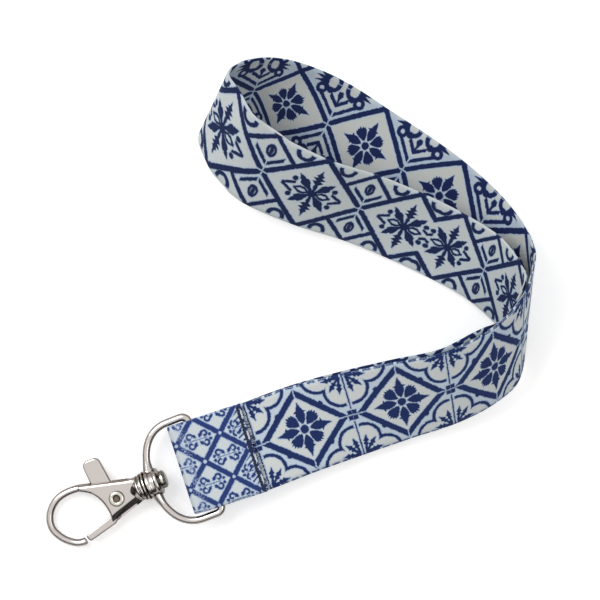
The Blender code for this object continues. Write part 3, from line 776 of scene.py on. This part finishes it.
# %% Build the tab
TAB_WIDTH = STRAP_WIDTH + 0.2 * MM
to_tab = Matrix.Translation(RING_BAR) @ Matrix.Rotation(TAB_TURN, 4, "Z")
tab_grid = [[to_tab @ Vector((x, TAB_WIDTH * (c / COLUMNS - 0.5), z)) for c in range(COLUMNS + 1)]
            for x, _, z, _, _ in side_line]
print("tab grid", len(tab_grid), "rows")


def tab_place(face_row, row, share, outside):
    return (tab_marks[row] * 1000, (share - 0.5) * TAB_WIDTH * 1000)


tab = cloth_shell("printed_tab", tab_grid, CLOTH_THICK, tab_place, lambda row, outside: 0,
                  [small_cloth])
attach(tab, "strap")
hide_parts("ring_tab")
print("tab", len(tab.data.polygons), "faces")

# %% [markdown]
# ## Stitches and frayed ends
# One row of lockstitch closes the tab.  The needle thread zigzags a little over
# the hem and sinks at every hole.  It could be a line in the print, but real
# thread catches the light and casts a fine shadow.  A curve is drawn from hole to
# hole and then made a mesh.

# %% Helpers that draw curves and make them meshes
def only(obj):
    bpy.ops.object.select_all(action="DESELECT")
    obj.select_set(True)
    bpy.context.view_layer.objects.active = obj


def as_mesh(curve, name):
    obj = bpy.data.objects.new(name, curve)
    bpy.context.collection.objects.link(obj)
    only(obj)
    bpy.ops.object.convert(target="MESH")
    return bpy.context.object


def merge(obj):
    only(obj)
    bpy.ops.object.mode_set(mode="EDIT")
    bpy.ops.mesh.select_all(action="SELECT")
    bpy.ops.mesh.remove_doubles(threshold=0.004 * MM)
    bpy.ops.mesh.normals_make_consistent(inside=False)
    bpy.ops.object.mode_set(mode="OBJECT")


def draw_line(curve, points, closed=False, swell=None):
    """Add one row of points, given in millimetres, to a curve."""
    spline = curve.splines.new("POLY")
    spline.points.add(len(points) - 1)
    for point, place in zip(spline.points, points):
        point.co = (*(value * MM for value in place), 1)
        point.radius = swell(*place) if swell else 1.0
    spline.use_cyclic_u = closed


def wire(name, lines, radius, closed=False, swell=None):
    """Round wire along one or more rows of points given in millimetres."""
    curve = bpy.data.curves.new(name, "CURVE")
    curve.dimensions = "3D"
    curve.bevel_depth = radius * MM
    curve.bevel_resolution = 4
    curve.use_fill_caps = True
    for points in lines:
        draw_line(curve, points, closed, swell)
    obj = as_mesh(curve, name)
    merge(obj)
    return obj


# %% Thread material
def thread_material(name, colour):
    material, tree, shader = new_material(name)
    place = tree.nodes.new("ShaderNodeTexCoord")
    fuzz = tree.nodes.new("ShaderNodeTexNoise")
    dial(fuzz, Scale=3500)
    bump = tree.nodes.new("ShaderNodeBump")
    bump.inputs["Distance"].default_value = 0.06 * MM
    tree.links.new(place.outputs["Object"], fuzz.inputs["Vector"])
    tree.links.new(fuzz.outputs["Fac"], bump.inputs["Height"])
    tree.links.new(bump.outputs["Normal"], shader.inputs["Normal"])
    dial(shader, Base_Color=colour, Roughness=0.75, Sheen_Weight=0.1)
    return material


dark_thread = thread_material("navy_thread", (0.008, 0.014, 0.055, 1))
pale_fibre = thread_material("pale_fibre", (0.62, 0.68, 0.76, 1))
print("threads", dark_thread.name, pale_fibre.name)

# %% Sew the seam
SEAM_X = (TAB_REACH - 0.9 * MM) * 1000
SEAM_TOP = (TAB_STACK + 0.24 * MM) * 1000
SEAM_HALF = 12.3
HOLES = 40
STITCH_RADIUS, FIBRE_RADIUS = 0.4, 0.07
random.seed(5)


def finish_piece(piece, body, nodes, material, place):
    """Put a piece in its place, colour it, attach it to its body and hide the model's nodes that
    it replaces.
    """
    piece.data.transform(place)
    piece.data.materials.clear()
    piece.data.materials.append(material)
    only(piece)
    bpy.ops.object.shade_smooth_by_angle(angle=radians(38))
    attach(piece, body)
    if nodes:
        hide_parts(*nodes)
    print(piece.name, len(piece.data.polygons), "faces")


for name, node, side in (("needle_stitches", "needle_thread", 1),
                         ("bobbin_stitches", "bobbin_thread", -1)):
    path = []
    for hole in range(HOLES + 1):
        y = SEAM_HALF * (2 * hole / HOLES - 1)
        lean = 0.13 * (-1) ** hole + random.uniform(-0.1, 0.1)
        path += [(SEAM_X + lean, y, side * (SEAM_TOP - 0.12)),
                 (SEAM_X - lean * 0.2, y + SEAM_HALF / HOLES, side * (SEAM_TOP + 0.05))]
    finish_piece(wire(name, [path[:-1]], STITCH_RADIUS), "strap", [node],
                 dark_thread, to_tab)

# %% Fray the cut edge of the hem
for name, material, count in (("dark_fray", dark_thread, 60), ("pale_fray", pale_fibre, 34)):
    fibres = []
    for _ in range(count):
        y = random.uniform(-12.2, 12.2)
        reach, drift = random.uniform(0.5, 1.5), random.uniform(-0.5, 0.5)
        start = (SEAM_X + random.uniform(0.2, 0.9), y, SEAM_TOP - 0.2)
        fibres.append([start, (start[0] + reach * 0.5, y + drift * 0.3, SEAM_TOP - 0.1),
                       (start[0] + reach, y + drift, SEAM_TOP - 0.7)])
    finish_piece(wire(name, fibres, FIBRE_RADIUS), "strap", [], material,
                 to_tab)

# %% [markdown]
# ## Polished nickel
# The hook is cast zinc with a thin nickel plate.  Nickel is a warm mirror.  Years
# of handling leave faint clouds in the polish.  The base colour is also painted
# darker on side walls that face away from straight up: painted shade for the dark
# reflections there.  A node group gives both, so that every metal piece gets the
# same wear and the same painted shade.

# %% Build the wear and painted-shade group
wear_and_shade_group, wear_and_shade_in, wear_and_shade_out = new_group(
    "nickel_wear_and_painted_shade", (("Place", "NodeSocketVector"), ("Facing", "NodeSocketVector"),
                     ("Roughest", "NodeSocketFloat")),
    ("Roughness", "Painted Side Shade", "Height"))


def cloud(scale, detail):
    node = wear_and_shade_group.nodes.new("ShaderNodeTexNoise")
    dial(node, Scale=scale, Detail=detail)
    wear_and_shade_group.links.new(wear_and_shade_in.outputs["Place"], node.inputs["Vector"])
    return Field(node.outputs["Fac"])


facing = wear_and_shade_group.nodes.new("ShaderNodeSeparateXYZ")
wear_and_shade_group.links.new(wear_and_shade_in.outputs["Facing"], facing.inputs["Vector"])
upright = Field(facing.outputs["Z"]).size()
clouds, grain = cloud(420, 3), cloud(5200, 2)
polish = (clouds * 0.6 + grain * 0.4) * Field(wear_and_shade_in.outputs["Roughest"])
# painted shade: faces that turn away from straight up get a darker base colour, standing in for
# dark side-wall reflections; the clouds add a little random tone
painted_side_shade = least(most((0.9 - upright) * 2.8 + (clouds - 0.5) * 0.4, 0.0), 1.0)
wear_and_shade_group.links.new(polish.socket, wear_and_shade_out.inputs["Roughness"])
wear_and_shade_group.links.new(painted_side_shade.socket, wear_and_shade_out.inputs["Painted Side Shade"])
wear_and_shade_group.links.new((clouds * 1.0 + grain * 0.12).socket, wear_and_shade_out.inputs["Height"])
print("wear group", len(wear_and_shade_group.nodes), "nodes")


# %% Nickel materials
def nickel(name, bright, dark, roughest):
    material, tree, shader = new_material(name)
    place = tree.nodes.new("ShaderNodeTexCoord")
    worn_and_shaded = tree.nodes.new("ShaderNodeGroup")
    worn_and_shaded.node_tree = wear_and_shade_group
    worn_and_shaded.inputs["Roughest"].default_value = roughest
    tree.links.new(place.outputs["Object"], worn_and_shaded.inputs["Place"])
    tree.links.new(place.outputs["Normal"], worn_and_shaded.inputs["Facing"])
    # mix the nickel colour towards the dark colour by the painted side-wall shade
    mix = tree.nodes.new("ShaderNodeMix")
    mix.data_type = "RGBA"
    mix.inputs[MIX_UNDER].default_value = bright
    mix.inputs[MIX_OVER].default_value = dark
    tree.links.new(worn_and_shaded.outputs["Painted Side Shade"], mix.inputs["Factor"])
    tree.links.new(mix.outputs[MIX_RESULT], shader.inputs["Base Color"])
    tree.links.new(worn_and_shaded.outputs["Roughness"], shader.inputs["Roughness"])
    bump = tree.nodes.new("ShaderNodeBump")
    dial(bump, Strength=0.35, Distance=0.03 * MM)
    tree.links.new(worn_and_shaded.outputs["Height"], bump.inputs["Height"])
    tree.links.new(bump.outputs["Normal"], shader.inputs["Normal"])
    shader.inputs["Metallic"].default_value = 1.0
    return material


# the second colour of each metal is the painted shade put on side walls
plated = nickel("polished_nickel", (0.74, 0.69, 0.67, 1), (0.12, 0.095, 0.08, 1), 0.34)
rivet_nickel = nickel("rivet_nickel", (0.80, 0.78, 0.70, 1), (0.16, 0.13, 0.10, 1), 0.26)
spring_steel = nickel("spring_steel", (0.42, 0.42, 0.43, 1), (0.08, 0.08, 0.08, 1), 0.5)
# a dark nickel for the inside of the pivot rivet's hollow: painted shade in the recess
hollow_painted_shade = nickel("hollow_painted_shade", (0.20, 0.16, 0.14, 1), (0.06, 0.05, 0.04, 1), 0.5)
print("metals", [m.name for m in (plated, rivet_nickel, spring_steel, hollow_painted_shade)])

# %% [markdown]
# ## Tools of the metal shop
# Three helpers cover every metal piece.  `plate` draws a flat outline as a filled
# curve with a rounded rim.  `turned` draws half a cross-section and spins it, as
# a lathe would.  `cast` joins and cuts the rough pieces and then remeshes and
# smooths them, which rounds each corner as casting and polishing do.


# %% Plates and turned pieces
LATHE_STEPS = 64


def apply(obj, kind, **settings):
    modifier = obj.modifiers.new(kind.lower(), kind)
    for key, value in settings.items():
        setattr(modifier, key, value)
    only(obj)
    bpy.ops.object.modifier_apply(modifier=modifier.name)


def plate(name, outline_points, half, rim):
    curve = bpy.data.curves.new(name, "CURVE")
    curve.dimensions = "2D"
    curve.fill_mode = "BOTH"
    curve.extrude = half * MM
    draw_line(curve, [(x, y, 0) for x, y in outline_points], closed=True)
    obj = as_mesh(curve, name)
    merge(obj)
    apply(obj, "BEVEL", width=rim * MM, segments=3, limit_method="ANGLE",
          angle_limit=radians(60), use_clamp_overlap=False)
    return obj


def turned(name, profile, centre=(0, 0), upright=False):
    """Spin (distance along, radius) pairs round the X axis, or round Z."""
    def at(along, radius):
        return (centre[0] + radius, centre[1], along) if upright else (along, radius, 0)
    curve = bpy.data.curves.new(name, "CURVE")
    curve.dimensions = "3D"
    draw_line(curve, [at(along, radius) for along, radius in profile])
    obj = as_mesh(curve, name)
    bpy.ops.object.mode_set(mode="EDIT")
    bpy.ops.mesh.select_all(action="SELECT")
    bpy.ops.mesh.spin(steps=LATHE_STEPS, angle=2 * pi, axis=(0, 0, 1) if upright else (1, 0, 0),
                      center=(centre[0] * MM, centre[1] * MM, 0))
    bpy.ops.object.mode_set(mode="OBJECT")
    merge(obj)
    return obj


# %% Casting
def cut_out(obj, tool):
    """Cut a tool out of a piece."""
    apply(obj, "BOOLEAN", operation="DIFFERENCE", object=tool, solver="EXACT")
    bpy.data.objects.remove(tool)


def cast(rough, added=(), removed=(), cell=0.14, rounds=4):
    only(rough)
    for part in added:
        part.select_set(True)
    if added:
        bpy.ops.object.join()
    apply(rough, "REMESH", mode="VOXEL", voxel_size=cell * MM)
    apply(rough, "SMOOTH", factor=0.5, iterations=rounds)
    for tool in removed:
        cut_out(rough, tool)
    return rough


def pin(name, centre, radius, low, high, upright=True):
    """A plain round cutter."""
    depth = (high - low) * MM
    middle = (low + high) / 2 * MM
    if upright:
        place, turn = (centre[0] * MM, centre[1] * MM, middle), (0, 0, 0)
    else:
        place, turn = (middle, centre[0] * MM, centre[1] * MM), (0, pi / 2, 0)
    bpy.ops.mesh.primitive_cylinder_add(vertices=48, radius=radius * MM, depth=depth,
                                        location=place, rotation=turn)
    bpy.context.object.name = name
    return bpy.context.object


def box(name, low, high):
    bpy.ops.mesh.primitive_cube_add(size=1, location=[(a + b) / 2 * MM for a, b in zip(low, high)],
                                    scale=[(b - a) * MM for a, b in zip(low, high)])
    bpy.context.object.name = name
    return bpy.context.object


# %% [markdown]
# ## D-ring
# The ring is one casting: a round wire bent to a D, with a drum on the middle of
# its curve that the swivel rivet runs through.  The straight bar lies inside the
# tab.  The wire swells where it meets the drum, as a casting must.

# %% Cast the D-ring
to_hook = Matrix.Translation(RING_BAR) @ Matrix.Rotation(-HOOK_PITCH, 4, "Y")
RING_WIRE = 1.1
RING_DEPTH = 16.0
RING_CORNER = 1.9
RING_SHOULDER = 5.5
SQUARENESS = 2.3
BOSS_X, BOSS_HALF, BOSS_RADIUS = -15.45, 1.65, 4.0
STEM_RADIUS, RUNNING_GAP = 1.3, 0.3


def ring_outline():
    half = STRAP_WIDTH * 1000 / 2 + 0.8 + RING_WIRE
    depth = RING_DEPTH - RING_SHOULDER
    quarter = [(0, y) for y in (0, 4, 8, 11)]
    quarter += [(-RING_CORNER + RING_CORNER * cos(radians(a)),
                 half - RING_CORNER + RING_CORNER * sin(radians(a))) for a in range(0, 91, 10)]
    for i in range(31):
        angle = pi / 2 * i / 30
        quarter.append((-RING_SHOULDER - depth * sin(angle) ** (2 / SQUARENESS),
                        half * max(cos(angle), 0) ** (2 / SQUARENESS)))
    return [(x, y, 0) for x, y in quarter] + [(x, -y, 0) for x, y in reversed(quarter[1:-1])]


def shoulder(x, y, z):
    return 1.0 + 0.42 * max(0.0, 1 - abs(abs(y) - 3.4) / 3.0) * (x < -10)


drum = turned("drum", ((BOSS_X - BOSS_HALF, 0), (BOSS_X - BOSS_HALF, BOSS_RADIUS),
                       (BOSS_X - 0.9, BOSS_RADIUS), (BOSS_X - 0.5, BOSS_RADIUS - 0.35),
                       (BOSS_X + 0.5, BOSS_RADIUS - 0.45), (BOSS_X + 1.0, BOSS_RADIUS - 0.1),
                       (BOSS_X + BOSS_HALF, BOSS_RADIUS - 0.2), (BOSS_X + BOSS_HALF, 0)))
ring = cast(wire("nickel_d_ring", [ring_outline()], RING_WIRE, closed=True, swell=shoulder),
            [drum], [pin("bore", (0, 0), STEM_RADIUS + RUNNING_GAP, -20, -11, upright=False)])
finish_piece(ring, "ring", ["d_ring"], plated, to_hook)

# %% [markdown]
# ## Swivel
# The rivet and its washer are turned.  The rivet's head stays inside the ring and
# its stem runs through the drum into the hook's neck, so the hook can spin.

# %% Turn the rivet and the washer
HEAD_LOW, HEAD_HIGH, HEAD_RADIUS = -13.5, -11.8, 2.6
STEM_END = -20.8
swivel = turned("domed_rivet", (
    (HEAD_HIGH, 0), (HEAD_HIGH, 1.5), (HEAD_HIGH - 0.1, 1.95), (HEAD_HIGH - 0.3, 2.3),
    (HEAD_HIGH - 0.65, HEAD_RADIUS), (HEAD_LOW + 0.45, HEAD_RADIUS), (HEAD_LOW + 0.12, 2.45),
    (HEAD_LOW, 2.1), (HEAD_LOW, STEM_RADIUS), (STEM_END, STEM_RADIUS), (STEM_END, 0)))
finish_piece(swivel, "hook", ["swivel_rivet"], rivet_nickel, to_hook)

WASHER_X, WASHER_HALF, WASHER_RADIUS = -17.8, 0.4, 4.15
washer = turned("rounded_washer", (
    (WASHER_X + WASHER_HALF, STEM_RADIUS + RUNNING_GAP), (WASHER_X + WASHER_HALF, 3.75),
    (WASHER_X + 0.3, 4.0), (WASHER_X + 0.12, WASHER_RADIUS), (WASHER_X - 0.12, WASHER_RADIUS),
    (WASHER_X - 0.3, 4.0), (WASHER_X - WASHER_HALF, 3.75),
    (WASHER_X - WASHER_HALF, STEM_RADIUS + RUNNING_GAP),
    (WASHER_X + WASHER_HALF, STEM_RADIUS + RUNNING_GAP)))
finish_piece(washer, "hook", ["swivel_washer"], rivet_nickel, to_hook)

# %% [markdown]
# ## Hook body
# The body is a flat casting that tapers from a round neck to two cheeks.  The
# lever works in the slot between them, and a round wire leaves the upper cheek
# line and bends into the claw.  All sizes are millimetres from the neck's face.

# %% Cast the hook
NECK_X, NECK_RADIUS = -18.5, 3.9
PIVOT = (NECK_X - 8.1, -0.3)
CHEEK_HALF, SLOT_HALF = 2.4, 1.4
CLAW_WIRE, EYE_RADIUS = 1.05, 1.5


def from_neck(points):
    return [(NECK_X + x, y) for x, y in points]


def curved(points):
    """A smooth line through flat points, five steps to a span."""
    line = smooth_route([(x, y, 0.0, 0.0, 0.0) for x, y in points])[::SPARSE]
    return [(row[0], row[1]) for row in line]


claw_line = from_neck(curved([(-12.0, 4.3), (-15.9, 5.75), (-20.1, 6.35), (-24.1, 5.75),
                              (-27.1, 3.75), (-28.85, 0.9), (-29.05, -2.3), (-27.2, -5.6),
                              (-24.5, -7.8), (-22.4, -8.45), (-21.25, -8.35)]))
claw = wire("claw", [[(x, y, 0) for x, y in claw_line]], CLAW_WIRE)
upper_edge = curved([(-1.3, 3.3), (-4.1, 3.75), (-8.1, 4.7), (-14.2, 6.2), (-17.7, 7.05)])
front_edge = curved([(-17.7, 5.2), (-16.1, 4.45), (-14.1, 2.95), (-12.7, 0.6), (-11.9, -2.1),
                     (-11.7, -4.5), (-12.0, -6.75)])
body = plate("nickel_hook", from_neck(upper_edge + front_edge + [(-1.3, -3.55)]), CHEEK_HALF, 0.85)
neck = turned("neck", ((NECK_X, 0), (NECK_X, 3.75), (NECK_X - 0.15, NECK_RADIUS),
                       (NECK_X - 0.6, NECK_RADIUS), (NECK_X - 0.75, 3.3), (NECK_X - 1.05, 3.3),
                       (NECK_X - 1.2, 3.65), (NECK_X - 1.6, 3.6), (NECK_X - 2.4, 3.1),
                       (NECK_X - 3.6, 2.5), (NECK_X - 5.2, 1.9), (NECK_X - 5.2, 0)))
only(body)
run = Vector((10.7, 3.2, 0)).normalized()
outward = Vector((run.y, -run.x, 0))
flank_start = Vector((NECK_X - 1.3, -3.55, CHEEK_HALF)) - outward * 2.3
bpy.ops.object.mode_set(mode="EDIT")
bpy.ops.mesh.select_all(action="SELECT")
bpy.ops.mesh.bisect(plane_co=flank_start * MM, plane_no=outward * 0.53 + Vector((0, 0, 0.85)),
                    use_fill=True, clear_outer=True)
bpy.ops.object.mode_set(mode="OBJECT")
print("flank cut, body now", len(body.data.polygons), "faces")
hook = cast(body, [claw, neck],
            [pin("bore", (0, 0), STEM_RADIUS + RUNNING_GAP, NECK_X - 2.9, NECK_X + 2,
                 upright=False),
             box("slot", (NECK_X - 14.8, -12, -SLOT_HALF), (NECK_X - 3.5, 12, SLOT_HALF)),
             pin("eye", PIVOT, EYE_RADIUS, -5, 5)], cell=0.13, rounds=3)
finish_piece(hook, "hook", ["hook_body"], plated, to_hook)

# %% [markdown]
# ## Lever
# The thumb tab, the hub and the gate bar are one flat lever on the pivot.  The
# gate's end is cut on a slant to meet the claw's nose.  A pocket in the hub holds
# the spring, with a notch that lets the spring's straight leg out.


# %% Cast the lever
def arc(centre, radius, start, end, steps):
    return [(centre[0] + radius * cos(radians(start + (end - start) * k / steps)),
             centre[1] + radius * sin(radians(start + (end - start) * k / steps)))
            for k in range(steps + 1)]


HUB_RADIUS, POCKET_RADIUS, POCKET_FLOOR = 3.1, 2.44, -0.162
THUMB_ROUND, THUMB_Y = 1.9, 11.1
lever_line = ([(-0.3, 4.9)] + arc((-3.0, THUMB_Y), THUMB_ROUND, 10, 75, 8)
              + arc((-4.35, THUMB_Y), THUMB_ROUND, 105, 185, 10)
              + curved([(-5.8, 5.0), (-4.4, 2.2), (-3.6, -1.0), (-3.7, -4.2)])
              + [(-12.7, -6.95), (-11.9, -8.75), (-3.3, -6.6)]
              + arc((0, 0), HUB_RADIUS, -75, 62, 24))
lever_flat = plate("nickel_lever", [(PIVOT[0] + x, PIVOT[1] + y) for x, y in lever_line],
                   1.0, 0.45)
lever = cast(lever_flat,
             [], [pin("eye", PIVOT, EYE_RADIUS, -3, 3),
                  pin("pocket", PIVOT, POCKET_RADIUS, POCKET_FLOOR, 4),
                  box("notch", (PIVOT[0], PIVOT[1] - POCKET_RADIUS / 2, POCKET_FLOOR),
                      (PIVOT[0] + 6, PIVOT[1] + 3.4, 3))], cell=0.12, rounds=3)
finish_piece(lever, "gate", ["gate_lever"], plated, to_hook)

# %% [markdown]
# ## Pivot rivet and spring
# A tubular rivet holds the lever.  Its ends are rolled over, which leaves a ring
# round a hollow, and the hollow's inner faces get a dark colour of their own:
# painted shade for the shade that fills it.  The spring is seen only through the
# slot, so the model's own coil stays, with a steel finish.

# %% Turn the pivot rivet
rim = ((2.75, 0), (2.75, 0.75), (3.0, 1.0), (3.17, 1.2), (3.2, 1.45), (3.17, 1.8), (3.05, 2.08),
       (2.85, 2.2), (2.7, 2.2), (2.7, 1.2))
pivot = turned("rolled_pivot", [(along, radius) for along, radius in rim]
               + [(-along, radius) for along, radius in reversed(rim)], PIVOT, upright=True)
finish_piece(pivot, "hook", ["pivot_rivet"], rivet_nickel, to_hook)
# the faces inside the hollow take the dark colour: painted shade in the recess
pivot.data.materials.append(hollow_painted_shade)
for face in pivot.data.polygons:
    flat = to_hook.inverted() @ face.center - Vector((PIVOT[0] * MM, PIVOT[1] * MM, 0))
    face.material_index = int(flat.xy.length < 1.0 * MM and abs(flat.z) > 2 * MM)

coil = bpy.data.objects["gate_spring"]
for slot in coil.material_slots:
    slot.material = spring_steel
print("spring", coil.name, len(coil.material_slots), "slots")
